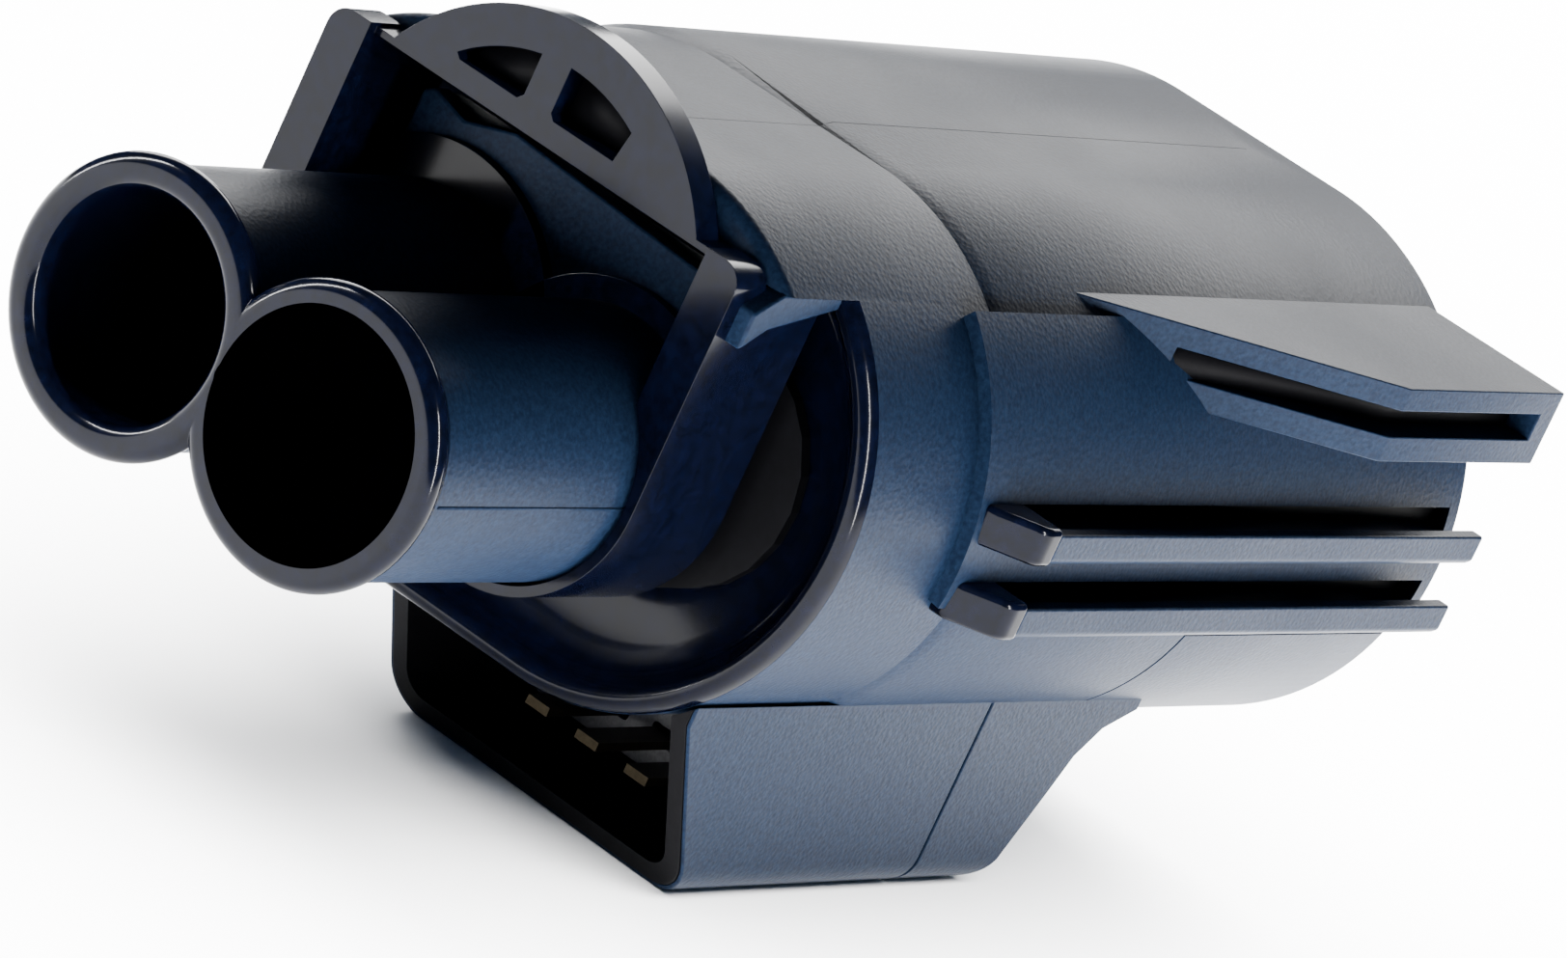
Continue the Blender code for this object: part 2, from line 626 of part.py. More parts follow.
def make_blower():
    star = []
    for blade in range(BLADES):
        start = 360 / BLADES * blade
        lead = [(4.2, 0), (8, -8), (12, -20), (15.7, -36)]
        for radius, sweep in lead + [(r, s + 60 / r) for r, s in reversed(lead)]:
            turn = math.radians(start + sweep)
            star.append((radius * MM * math.cos(turn), radius * MM * math.sin(turn)))
    vanes = prism("impeller_vanes", [star], (IMPELLER_Y[0], IMPELLER_Y[1] - 1.0 * MM), "Y")
    vanes.location.x, vanes.location.z = MOTOR_X, BODY_Z
    front, back = IMPELLER_Y
    eye = [(0, back), (IMPELLER_R, back), (IMPELLER_R, back - 1.3 * MM), (4.6 * MM, back - 1.3 * MM)]
    eye += [(4.6 * MM, front - 0.6 * MM), (0, front - 0.6 * MM)]
    impeller = on_motor("impeller", eye, (0.75, 0.75, 0.7), 0.5)
    join(impeller, vanes)
    bore = (front - 2 * MM, SHAFT_END + GAP)
    cut(impeller, rod("impeller_bore", MOTOR_X, BODY_Z, SHAFT_R + GAP, bore, segments=24))

    casing = hull_of_circles((MOTOR_X, BODY_Z, VOLUTE_R), (DUCT_X, BODY_Z, DUCT_R + 0.5 * MM))
    scroll = hull_of_circles((MOTOR_X, BODY_Z, VOLUTE_R - 1.4 * MM), (DUCT_X, BODY_Z, DUCT_R - 0.9 * MM))
    split = VOLUTE_Y[0] + 1.6 * MM
    housing = prism("volute_housing", [casing], (split + GAP, VOLUTE_Y[1]), "Y", (0.07, 0.07, 0.08), 0.5)
    cut(housing, prism("scroll_space", [scroll], (split - 1 * MM, VOLUTE_Y[1] - 1.4 * MM), "Y"))
    eye_hole = circle(MOTOR_X, BODY_Z, 8.5 * MM, 28)
    duct_hole = circle(DUCT_X, BODY_Z, DUCT_BORE, 28)
    plate = (VOLUTE_Y[0], split)
    cover = prism("volute_cover", [casing, eye_hole, duct_hole], plate, "Y", (0.07, 0.07, 0.08), 0.5)
    for number in range(3):
        turn = math.radians(90 + 120 * number)
        place = (MOTOR_X + 11.5 * MM * math.cos(turn), BODY_Z + 11.5 * MM * math.sin(turn))
        foot = CAN_Y[1] + 1.8 * MM
        join(cover, rod(f"cover_post_{number}", *place, 1.8 * MM, (foot, plate[0] + 0.5 * MM), segments=16))

    duct = tube_profile(DUCT_R, DUCT_BORE, (VALVE_Y[1] + GAP, plate[0] - GAP))
    turned("outlet_duct", duct, DUCT_X, BODY_Z, (0.07, 0.07, 0.08), 0.5)


def make_check_valve():
    front, back = VALVE_Y
    chamber = (PORT_X, 0, 10.2 * MM)
    outer = hull_of_circles((PORT_X, 0, 11.5 * MM), (DUCT_X, BODY_Z, 10.6 * MM))
    body = prism("valve_body", [outer], VALVE_Y, "Y", (0.07, 0.07, 0.08), 0.5)
    cut(body, rod("valve_chamber", *chamber, (front - 1 * MM, 55 * MM)))
    cut(body, rod("valve_seat", VALVE_X, VALVE_Z, 4.4 * MM, (50 * MM, back + 1 * MM), segments=24))
    pivot_y, pivot_z = FLAP_PIVOT

    def across(name, radius, x, *look, segments=16):
        bm = bmesh.new()
        turn = Matrix.Rotation(math.pi / 2, 4, "Y")
        sizes = {"radius1": radius, "radius2": radius, "depth": x[1] - x[0], "segments": segments}
        bmesh.ops.create_cone(bm, cap_ends=True, matrix=turn, **sizes)
        obj = from_bmesh(name, bm, *look)
        obj.location = (sum(x) / 2, pivot_y, pivot_z)
        return obj

    pin_x = (VALVE_X - 8.4 * MM, VALVE_X + 8.0 * MM)
    cut(body, across("pin_hole", 1.0 * MM, (pin_x[0] - GAP, pin_x[1] + GAP)))
    across("valve_pin", 0.7 * MM, pin_x, STEEL, 0.3, 1.0)

    flap = across("valve_flap", 1.4 * MM, (VALVE_X - 3 * MM, VALVE_X + 3 * MM), (0.02, 0.02, 0.02), 0.8)
    face = (54.6 * MM - 1.2 * MM, 54.6 * MM)
    disc = rod("flap_disc", VALVE_X, VALVE_Z, FLAP_R, face, segments=28)
    arm = box("flap_arm", (VALVE_X - 2 * MM, VALVE_X + 2 * MM), face, (VALVE_Z + 4 * MM, pivot_z))
    join(flap, disc, arm)
    cut(flap, across("flap_bore", 0.8 * MM, (VALVE_X - 5 * MM, VALVE_X + 5 * MM)))


def make_filter_and_board():
    rod("inlet_filter", -13.5 * MM, BODY_Z, 11.2 * MM, (44.5 * MM, 54 * MM), (0.25, 0.25, 0.24), 0.95)
    prism(
        "filter_retainer",
        [circle(-13.5 * MM, BODY_Z, 11.2 * MM), circle(-13.5 * MM, BODY_Z, 9.2 * MM)],
        (54.4 * MM, 56.4 * MM),
        "Y",
        (0.07, 0.07, 0.08),
        0.5,
    )
    board_z = (-17.2 * MM, -15.6 * MM)
    box("control_board", (-12 * MM, 17 * MM), (72.5 * MM, 87 * MM), board_z, (0.02, 0.16, 0.07), 0.5)
    on_board = board_z[1] + GAP
    can_r = 1.7 * MM
    can_look = ((0.1, 0.1, 0.12), 0.4)
    rod("capacitor", 8.5 * MM, on_board + can_r, can_r, (74 * MM, 84 * MM), *can_look, segments=20)
    chip = ((-3 * MM, 3 * MM), (75 * MM, 80 * MM), (on_board, on_board + 1.5 * MM))
    box("driver_chip", *chip, (0.03, 0.03, 0.03), 0.5)


make_port_block()
make_front_head()
make_front_shell()
make_rear_shell()
make_rear_cap()
make_connector_box()
make_leads()
make_motor()
make_blower()
make_check_valve()
make_filter_and_board()
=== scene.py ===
# %% [markdown]
# # A compact twin-spigot air pump
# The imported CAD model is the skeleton. It has every piece at its true size, but its round walls are
# faceted and its edges are knife sharp. This script keeps the pieces that are out of sight and gives
# them finishes, and it models the moulded outside again with round edges, smooth lobes and real seams.

# %% Load the frame
import json
import math

import bmesh
import bpy
from mathutils import Matrix, Vector


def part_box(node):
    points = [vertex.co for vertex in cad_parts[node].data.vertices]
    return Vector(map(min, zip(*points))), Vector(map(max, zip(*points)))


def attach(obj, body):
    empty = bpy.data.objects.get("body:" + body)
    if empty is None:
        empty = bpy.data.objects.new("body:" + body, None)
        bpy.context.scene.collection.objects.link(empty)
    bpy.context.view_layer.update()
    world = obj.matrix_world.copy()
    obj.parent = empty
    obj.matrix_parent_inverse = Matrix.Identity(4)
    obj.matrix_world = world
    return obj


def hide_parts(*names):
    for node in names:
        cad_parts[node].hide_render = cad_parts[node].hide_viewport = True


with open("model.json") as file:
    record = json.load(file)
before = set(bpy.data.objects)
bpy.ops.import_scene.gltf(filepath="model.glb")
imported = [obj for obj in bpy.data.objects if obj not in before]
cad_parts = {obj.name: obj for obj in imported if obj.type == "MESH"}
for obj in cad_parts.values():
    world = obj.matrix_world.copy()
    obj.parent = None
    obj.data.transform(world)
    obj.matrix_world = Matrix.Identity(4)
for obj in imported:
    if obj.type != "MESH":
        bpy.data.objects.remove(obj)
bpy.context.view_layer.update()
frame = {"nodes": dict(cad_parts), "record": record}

# %% [markdown]
# ## Measure the frame
# Every place below is written in the pump's own terms: X from the middle, Y from the spigot rims and Z
# from the spigot axes, in millimetres. `at` turns such a place into the frame's metres, and the driving
# sizes are measured on the CAD nodes, so a change in the CAD carries through.

# %% Pump coordinates and driving sizes
MM = 0.001
BEAD_R = 12.0
ports_low, ports_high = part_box("twin_port_block")
DATUM = Vector(((ports_low.x + ports_high.x) / 2, ports_low.y, ports_low.z + BEAD_R * MM))
PORT_X = (ports_high.x - ports_low.x) / 2 / MM - BEAD_R


def at(x, y, z):
    return DATUM + Vector((x, y, z)) * MM


def pump_box(node):
    low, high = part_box(node)
    return (low - DATUM) / MM, (high - DATUM) / MM


front_low, front_high = pump_box("front_shell")
rear_low, rear_high = pump_box("rear_shell")
tail_low, tail_high = pump_box("tail_cover")
head_low, head_high = pump_box("front_head")
housing_low, housing_high = pump_box("connector_housing")
cover_low, cover_high = pump_box("harness_cover")
FRONT_R = (front_high.z - front_low.z) / 2
BODY_Z = (front_high.z + front_low.z) / 2
REAR_R = rear_high.z - BODY_Z
LEFT_X = rear_low.x + REAR_R
FACE_Y = front_low.y + 8.5
STEP_Y = rear_low.y
BACK_Y = rear_high.y
print(f"spigots at +-{PORT_X:.1f}, left lobe at {LEFT_X:.1f}, lobes {FRONT_R:.1f} and {REAR_R:.1f} mm")

# %% [markdown]
# ## Mesh tools
# The body's section is an obround: a circle parted down its middle, with its halves moved out to the two
# lobes' centres. A loft of such rings, bridged one to the next, gives the long shells with round rims. Flat
# mouldings are slabs: one outline, extruded. Both are made by bmesh operators, and a Bevel modifier gives
# every remaining edge the small radius that an injection mould leaves.


# %% Rings, lofts and slabs
LOBE_STEPS = 128


def new_piece(name, bm):
    bmesh.ops.recalc_face_normals(bm, faces=bm.faces)
    mesh = bpy.data.meshes.new(name)
    bm.to_mesh(mesh)
    bm.free()
    piece = bpy.data.objects.new(name, mesh)
    bpy.context.scene.collection.objects.link(piece)
    mesh.shade_smooth()
    return piece


def obround_ring(bm, y, radius):
    """One obround loop of edges, square to Y."""
    turn = Matrix.Rotation(math.pi / 2, 4, "X") @ Matrix.Rotation(math.pi / LOBE_STEPS, 4, "Z")
    ring = bmesh.ops.create_circle(bm, segments=LOBE_STEPS, radius=radius * MM, matrix=turn)["verts"]
    for vert in ring:
        vert.co += at(PORT_X if vert.co.x > 0 else LEFT_X, y, BODY_Z)
    return list({edge for vert in ring for edge in vert.link_edges})


def bridge_rings(bm, rings):
    """Obround rings at each (y, radius), each bridged to the next."""
    loops = [obround_ring(bm, y, radius) for y, radius in rings]
    for first, second in zip(loops, loops[1:]):
        bmesh.ops.bridge_loops(bm, edges=first + second)
    return loops


def loft(name, rings):
    """A closed piece through (y, radius) rings."""
    bm = bmesh.new()
    loops = bridge_rings(bm, rings)
    for loop in (loops[0], loops[-1]):
        bmesh.ops.edgeloop_fill(bm, edges=loop)
    return new_piece(name, bm)


def arc(cx, cy, radius, start, end, count):
    angles = [math.radians(start + (end - start) * i / count) for i in range(count + 1)]
    return [(cx + radius * math.cos(a), cy + radius * math.sin(a)) for a in angles]


def slab(name, outline, span, axis):
    """A flat outline, extruded between the two ends of span along an axis."""
    place = {
        "X": lambda u, v, w: at(w, u, v),
        "Y": lambda u, v, w: at(u, w, v),
        "Z": lambda u, v, w: at(u, v, w),
    }[axis]
    bm = bmesh.new()
    face = bm.faces.new([bm.verts.new(place(u, v, span[0])) for u, v in outline])
    grown = bmesh.ops.extrude_face_region(bm, geom=[face])["geom"]
    step = place(0, 0, span[1]) - place(0, 0, span[0])
    moved = [item for item in grown if isinstance(item, bmesh.types.BMVert)]
    bmesh.ops.translate(bm, vec=step, verts=moved)
    return new_piece(name, bm)


def block(name, x, y, z):
    return slab(name, [(x[0], z[0]), (x[1], z[0]), (x[1], z[1]), (x[0], z[1])], y, "Y")


def rounded(x, y, radius, count=6):
    """A rectangle with round corners."""
    points = []
    for cx, cy, start in ((x[1], y[1], 0), (x[0], y[1], 90), (x[0], y[0], 180), (x[1], y[0], 270)):
        inx = cx + (radius if cx == x[0] else -radius)
        iny = cy + (radius if cy == y[0] else -radius)
        points += arc(inx, iny, radius, start, start + 90, count)
    return points


print("tools ready, rings of", LOBE_STEPS, "points")

# %% [markdown]
# Turned pieces are spun from one profile, and a Boolean joins or cuts two closed shapes. The Boolean is
# baked at once, so that no cutter stays in the scene, and tiny leftovers on flat faces are dissolved.


# %% Turning, cutting and finishing


def turned(name, x, profile, steps=96):
    """A closed profile of (radius, y) points, spun about a line along Y."""
    bm = bmesh.new()
    verts = [bm.verts.new(at(x + radius, y, 0)) for radius, y in profile]
    ends = zip(verts, verts[1:] + verts[:1])
    edges = [bm.edges.new(pair) for pair in ends]
    bmesh.ops.spin(
        bm, geom=edges, cent=at(x, 0, 0), axis=(0, 1, 0), angle=math.tau, steps=steps, use_merge=True
    )
    bmesh.ops.remove_doubles(bm, verts=bm.verts, dist=1e-6)
    return new_piece(name, bm)


def rod(name, x, z, radius, y, steps=96):
    """A cylinder along Y."""
    bm = bmesh.new()
    turn = Matrix.Rotation(math.pi / 2, 4, "X")
    sizes = {"radius1": radius * MM, "radius2": radius * MM, "depth": (y[1] - y[0]) * MM}
    bmesh.ops.create_cone(bm, cap_ends=True, segments=steps, matrix=turn, **sizes)
    bmesh.ops.translate(bm, vec=at(x, (y[0] + y[1]) / 2, z), verts=bm.verts)
    return new_piece(name, bm)


def carve(piece, other, operation="DIFFERENCE"):
    """Cuts other from piece, or joins it on, and removes other."""
    modifier = piece.modifiers.new(operation, "BOOLEAN")
    modifier.operation, modifier.object, modifier.solver = operation, other, "EXACT"
    graph = bpy.context.evaluated_depsgraph_get()
    mesh = bpy.data.meshes.new_from_object(piece.evaluated_get(graph))
    piece.modifiers.clear()
    piece.data = mesh
    bpy.data.objects.remove(other)
    bm = bmesh.new()
    bm.from_mesh(mesh)
    bmesh.ops.remove_doubles(bm, verts=bm.verts, dist=2e-6)
    bmesh.ops.dissolve_degenerate(bm, edges=bm.edges, dist=2e-6)
    bmesh.ops.dissolve_limit(bm, angle_limit=math.radians(0.2), verts=bm.verts, edges=bm.edges)
    bm.to_mesh(mesh)
    bm.free()
    mesh.shade_smooth()


def soften(piece, width, segments=3, angle=38):
    """The small mould radius on every sharp edge."""
    bevel = piece.modifiers.new("Mould radius", "BEVEL")
    bevel.width = width * MM
    bevel.segments = segments
    bevel.limit_method = "ANGLE"
    bevel.angle_limit = math.radians(angle)
    bevel.harden_normals = True
    bevel.use_clamp_overlap = True
    return piece


print("turning and cutting ready")

# %% [markdown]
# ## Finishes
# The shells are black plastic from a spark-eroded mould: a fine even grain that breaks light into speckle.
# The same grain at another depth serves rubber, foam and castings, so it is one node group. A second group
# gives slow changes of gloss, where hands and packing have polished the grain. Both read Object coordinates,
# so nothing slides when the camera moves.


# %% Shared node groups


def node_group(name, inputs, outputs):
    tree = bpy.data.node_groups.new(name, "ShaderNodeTree")
    for label, kind, default in inputs:
        socket = tree.interface.new_socket(label, in_out="INPUT", socket_type=kind)
        socket.default_value = default
    for label, kind in outputs:
        tree.interface.new_socket(label, in_out="OUTPUT", socket_type=kind)
    return tree, tree.nodes.new("NodeGroupInput"), tree.nodes.new("NodeGroupOutput")


def make_grain_group():
    """Speckle for colour and roughness, and a height for bump."""
    number, colour = "NodeSocketFloat", "NodeSocketColor"
    tree, given, result = node_group(
        "Moulded grain",
        [("Scale", number, 2400.0), ("Dark", colour, (0, 0, 0, 1)), ("Light", colour, (1, 1, 1, 1))],
        [("Color", colour), ("Height", number), ("Speckle", number)],
    )
    place = tree.nodes.new("ShaderNodeTexCoord")
    fine = tree.nodes.new("ShaderNodeTexNoise")
    fine.inputs["Detail"].default_value = 3.0
    fine.inputs["Roughness"].default_value = 0.65
    cells = tree.nodes.new("ShaderNodeTexVoronoi")
    spread = tree.nodes.new("ShaderNodeMapRange")
    spread.inputs["From Min"].default_value = 0.35
    spread.inputs["From Max"].default_value = 0.68
    blend = tree.nodes.new("ShaderNodeMix")
    blend.data_type = "RGBA"
    total = tree.nodes.new("ShaderNodeMath")
    total.operation = "MULTIPLY_ADD"
    total.inputs[1].default_value = 0.6
    links = tree.links
    links.new(place.outputs["Object"], fine.inputs["Vector"])
    links.new(place.outputs["Object"], cells.inputs["Vector"])
    links.new(given.outputs["Scale"], fine.inputs["Scale"])
    links.new(given.outputs["Scale"], cells.inputs["Scale"])
    links.new(fine.outputs["Fac"], spread.inputs["Value"])
    links.new(spread.outputs["Result"], blend.inputs["Factor"])
    links.new(given.outputs["Dark"], blend.inputs["A"])
    links.new(given.outputs["Light"], blend.inputs["B"])
    links.new(blend.outputs["Result"], result.inputs["Color"])
    links.new(fine.outputs["Fac"], total.inputs[0])
    links.new(cells.outputs["Distance"], total.inputs[2])
    links.new(total.outputs["Value"], result.inputs["Height"])
    links.new(spread.outputs["Result"], result.inputs["Speckle"])
    return tree


def make_polish_group():
    """A roughness that wanders between two values in soft patches."""
    number = "NodeSocketFloat"
    tree, given, result = node_group(
        "Handled polish",
        [("Smooth", number, 0.3), ("Rough", number, 0.5), ("Scale", number, 60.0)],
        [("Roughness", number)],
    )
    place = tree.nodes.new("ShaderNodeTexCoord")
    patches = tree.nodes.new("ShaderNodeTexNoise")
    patches.inputs["Detail"].default_value = 4.0
    between = tree.nodes.new("ShaderNodeMapRange")
    links = tree.links
    links.new(place.outputs["Object"], patches.inputs["Vector"])
    links.new(given.outputs["Scale"], patches.inputs["Scale"])
    links.new(patches.outputs["Fac"], between.inputs["Value"])
    links.new(given.outputs["Smooth"], between.inputs["To Min"])
    links.new(given.outputs["Rough"], between.inputs["To Max"])
    links.new(between.outputs["Result"], result.inputs["Roughness"])
    return tree


grain_group = make_grain_group()
polish_group = make_polish_group()
print("groups:", grain_group.name, "and", polish_group.name)

# %% [markdown]
# Each finish is a Principled shader with those two groups and its own values. Constants such as metallic
# and specular level sit on the shader's own sockets.


# %% Finishes by material slot


def finish(slot, dark, light, smooth, rough, grain=2400.0, depth=0.02, metallic=0.0, specular=0.5):
    made = bpy.data.materials.new(slot)
    made.use_nodes = True
    tree = made.node_tree
    shader = tree.nodes["Principled BSDF"]
    shader.inputs["Metallic"].default_value = metallic
    shader.inputs["Specular IOR Level"].default_value = specular
    speckle = tree.nodes.new("ShaderNodeGroup")
    speckle.node_tree = grain_group
    speckle.inputs["Scale"].default_value = grain
    speckle.inputs["Dark"].default_value = (*dark, 1)
    speckle.inputs["Light"].default_value = (*light, 1)
    polish = tree.nodes.new("ShaderNodeGroup")
    polish.node_tree = polish_group
    polish.inputs["Smooth"].default_value = smooth
    polish.inputs["Rough"].default_value = rough
    bump = tree.nodes.new("ShaderNodeBump")
    bump.inputs["Strength"].default_value = min(1.0, depth * 12)
    bump.inputs["Distance"].default_value = depth * MM
    tree.links.new(speckle.outputs["Color"], shader.inputs["Base Color"])
    tree.links.new(speckle.outputs["Height"], bump.inputs["Height"])
    tree.links.new(polish.outputs["Roughness"], shader.inputs["Roughness"])
    tree.links.new(bump.outputs["Normal"], shader.inputs["Normal"])
    made.diffuse_color = (*light, 1)
    return made


FINISHES = {
    "gloss_black": finish("gloss_black", (0.0003, 0.0005, 0.0016), (0.0006, 0.001, 0.004), 0.10, 0.20, 900, 0.006, specular=0.06),
    "grain_black": finish("grain_black", (0.003, 0.007, 0.018), (0.0064, 0.0145, 0.033), 0.36, 0.5, 2300, 0.04, specular=0.035),
    # inner_black is near black, darker than the shells' own plastic: on the pieces below it is painted shade in the
    # windows, channels, the wedge's slot and the box's mouth.
    "inner_black": finish("inner_black", (0.0008, 0.0008, 0.0012), (0.0016, 0.0016, 0.0024), 0.5, 0.65, specular=0.05),
    "rubber": finish("rubber", (0.010, 0.010, 0.010), (0.022, 0.022, 0.022), 0.65, 0.85, 3200, 0.04),
    "steel": finish("steel", (0.50, 0.50, 0.52), (0.66, 0.66, 0.68), 0.18, 0.32, 3000, 0.004, 1.0),
    "plated_steel": finish("plated_steel", (0.46, 0.47, 0.50), (0.60, 0.61, 0.63), 0.25, 0.42, 700, 0.006, 1.0),
    "lamination": finish("lamination", (0.22, 0.23, 0.25), (0.38, 0.39, 0.41), 0.35, 0.55, 3000, 0.03, 1.0),
    "copper": finish("copper", (0.42, 0.15, 0.06), (0.66, 0.30, 0.13), 0.25, 0.4, 2600, 0.05, 1.0),
    "magnet": finish("magnet", (0.06, 0.06, 0.07), (0.13, 0.13, 0.14), 0.45, 0.6, 2600, 0.03, 0.6),
    "nylon": finish("nylon", (0.60, 0.60, 0.55), (0.74, 0.74, 0.68), 0.35, 0.5, 1500, 0.01),
    "terminal_resin": finish("terminal_resin", (0.02, 0.02, 0.024), (0.05, 0.05, 0.055), 0.4, 0.55),
    # The terminal brass is painted near black: painted shade for pins that sit deep in the connector's dark mouth.
    "terminal_brass": finish("terminal_brass", (0.02, 0.016, 0.01), (0.035, 0.028, 0.018), 0.4, 0.55, 2400, 0.004, 1.0),
    "board": finish("board", (0.01, 0.09, 0.04), (0.02, 0.17, 0.07), 0.25, 0.4, 900, 0.01),
    "component": finish("component", (0.02, 0.02, 0.025), (0.06, 0.06, 0.07), 0.3, 0.45),
    "foam": finish("foam", (0.05, 0.05, 0.05), (0.26, 0.26, 0.25), 0.85, 0.95, 900, 0.6),
    "lead_red": finish("lead_red", (0.28, 0.02, 0.02), (0.42, 0.03, 0.03), 0.35, 0.5),
    "lead_black": finish("lead_black", (0.012, 0.012, 0.012), (0.03, 0.03, 0.03), 0.35, 0.5),
    "lead_blue": finish("lead_blue", (0.03, 0.08, 0.30), (0.05, 0.13, 0.42), 0.35, 0.5),
}


polished = bpy.data.collections.new("polished")


def dress(piece, slot):
    """Gives a new piece its finish, and lets it ride on the pump's body."""
    if slot == "gloss_black":
        polished.objects.link(piece)
    piece.data.materials.clear()
    piece.data.materials.append(FINISHES[slot])
    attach(piece, "pump_body")
    return piece


for entry in frame["record"]["subparts"]:
    node = frame["nodes"][entry["node"]]
    node.data.materials.clear()
    node.data.materials.append(FINISHES[entry["material_slot"]])
print("finishes:", len(FINISHES))

# %% [markdown]
# ## The spigots
# Two turned tubes stand so close that their beads run into each other, so the rim is a figure of eight
# with one shared wall. The rims and the bores are smoother than the grained tubes, because the mould's core
# pins are polished. So each pair is spun twice: a smooth mouth with its bead, and a grained sleeve behind it.


# %% Twin spigots
TUBE_R, BORE_R, SLEEVE_R = 11.1, 9.2, 10.4
PORT_END = pump_box("twin_port_block")[1].y
FLANGE_TOP = 17.0
FLANGE_Y = 36.4
BEAD_END = 3.0
RIM_Y = 0.02


def mouth_profile():
    bead = arc(BEAD_R - 1.15, 1.15 + RIM_Y, 1.15, -90, 50, 14)
    neck = [(11.3, 2.5), (TUBE_R + 0.06, 2.9), (TUBE_R + 0.02, BEAD_END)]
    return [(0.001, RIM_Y), *bead, *neck, (SLEEVE_R - 0.02, BEAD_END), (SLEEVE_R - 0.02, PORT_END), (0.001, PORT_END)]


def bore_profile():
    lip = arc(BORE_R + 0.9, 0.9 + RIM_Y, 0.9, 270, 180, 6)
    return [(0.001, -0.5), (BORE_R + 0.9, -0.5), *lip, (BORE_R - 0.1, PORT_END + 0.5), (0.001, PORT_END + 0.5)]


def twin(name, profile):
    """The same turned shape on both spigot axes, joined."""
    pair = turned(name, -PORT_X, profile)
    carve(pair, turned(f"{name}_right", PORT_X, profile), "UNION")
    return pair


sleeve_start, sleeve_end = BEAD_END - 0.4, PORT_END - 0.1
sleeve = [(0.001, sleeve_start), (TUBE_R, sleeve_start), (TUBE_R, sleeve_end), (0.001, sleeve_end)]
mouths = twin("spigot_mouths", mouth_profile())
tubes = twin("spigot_tubes", sleeve)
for side in (-1, 1):
    carve(mouths, turned(f"bore_{side}", side * PORT_X, bore_profile()))
    carve(tubes, rod(f"sleeve_bore_{side}", side * PORT_X, 0, SLEEVE_R, (0, PORT_END + 1)))
soften(mouths, 0.2, angle=50)
soften(tubes, 0.1, angle=50)
dress(mouths, "gloss_black")
dress(tubes, "grain_black")
for piece in (mouths, tubes):
    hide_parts("twin_port_block")
print("mouth faces:", len(mouths.data.polygons), "tube faces:", len(tubes.data.polygons))

# %% [markdown]
# A raised mould seam runs along the side of each tube. At their roots the tubes pass through a flange, with
# a smooth collar round each. The flange stands at the back of the pocket, and its top edge dips a little.


# %% Flange, collars and mould seams
def flange_outline():
    edge, top = 17.8, FLANGE_TOP
    return [(-edge, -6), (edge, -6), (edge, top - 1.5), (edge - 1.2, top - 0.3), (12, top - 0.4), (-8, top + 0.6),
            (-13, top - 0.9), (1.0 - edge, top), (-edge, top - 0.6)]


flange = slab("pocket_flange", flange_outline(), (FLANGE_Y, PORT_END), "Y")
soften(flange, 0.3)
dress(flange, "grain_black")
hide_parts("twin_port_block")
for side, rise, radius in ((-1, 1.2, 13.6), (1, 0.0, 13.1)):
    collar = rod(f"collar_{side}", side * PORT_X, rise, radius, (FLANGE_Y - 1.2, FLANGE_Y + 0.3))
    carve(collar, block("collar_room", (-18.0, 18.0), (30, 40), (-6, 18)), "INTERSECT")
    carve(collar, rod("collar_bore", side * PORT_X, 0, SLEEVE_R, (30, 40)))
    soften(collar, 0.35)
    dress(collar, "gloss_black")
    x = side * (PORT_X + TUBE_R)
    seam = slab(f"spigot_seam_{side}", rounded((x - 0.2, x + 0.09), (-0.12, 0.12), 0.05, 2), (3.4, 34.0), "Y")
    dress(seam, "grain_black")
print("flange, collars and mould seams stand at the tubes' roots")

# %% [markdown]
# ## The head
# Two cheeks hug the tubes and stand up on each side of an open pocket. A round hood bridges them in front
# of the body's brow. It has a bar across its foot and two blind windows with a spoke between them, so the
# material is cored out where a thick moulding would sink.


# %% Cheeks and hood
CHEEK_OUT = head_high.x
CHEEK_IN = 18.5
CHEEK_TOP = 21.5
HEAD_R = CHEEK_OUT - PORT_X
HOOD_Z = 11.0
HOOD_R = head_high.z - HOOD_Z
HOOD_FRONT, HOOD_BACK = 28.0, 31.0
CHORD_LOW, CHORD_HIGH = 20.6, 22.7


def head_outline():
    ear = (CHEEK_OUT - CHEEK_IN) / 2
    right = arc(PORT_X, 0, HEAD_R, -90, 0, 24) + arc(CHEEK_OUT - ear, CHEEK_TOP - ear, ear, 0, 90, 8)
    left = arc(ear - CHEEK_OUT, CHEEK_TOP - ear, ear, 90, 180, 8) + arc(-PORT_X, 0, HEAD_R, 180, 270, 24)
    return right + left


def hood_outline():
    ends = CHORD_LOW + 0.6
    reach = math.degrees(math.acos((ends - HOOD_Z) / HOOD_R))
    side = CHEEK_IN + 1
    return [(side, CHORD_LOW), (side, ends), *arc(0, HOOD_Z, HOOD_R, 90 - reach, 90 + reach, 48),
            (-side, ends), (-side, CHORD_LOW)]


def window_outline(near, far):
    """A window between two places across, closed by the hood's rim above and the bar below."""
    inner_r = HOOD_R - 3.4
    start, end = (math.degrees(math.acos(x / inner_r)) for x in (near, far))
    rim = arc(0, HOOD_Z, inner_r, end, start, 8)
    corner = math.copysign(0.5, far)
    return [(near, CHORD_HIGH + 0.5), (near + corner, CHORD_HIGH), (far - corner, CHORD_HIGH), *rim]


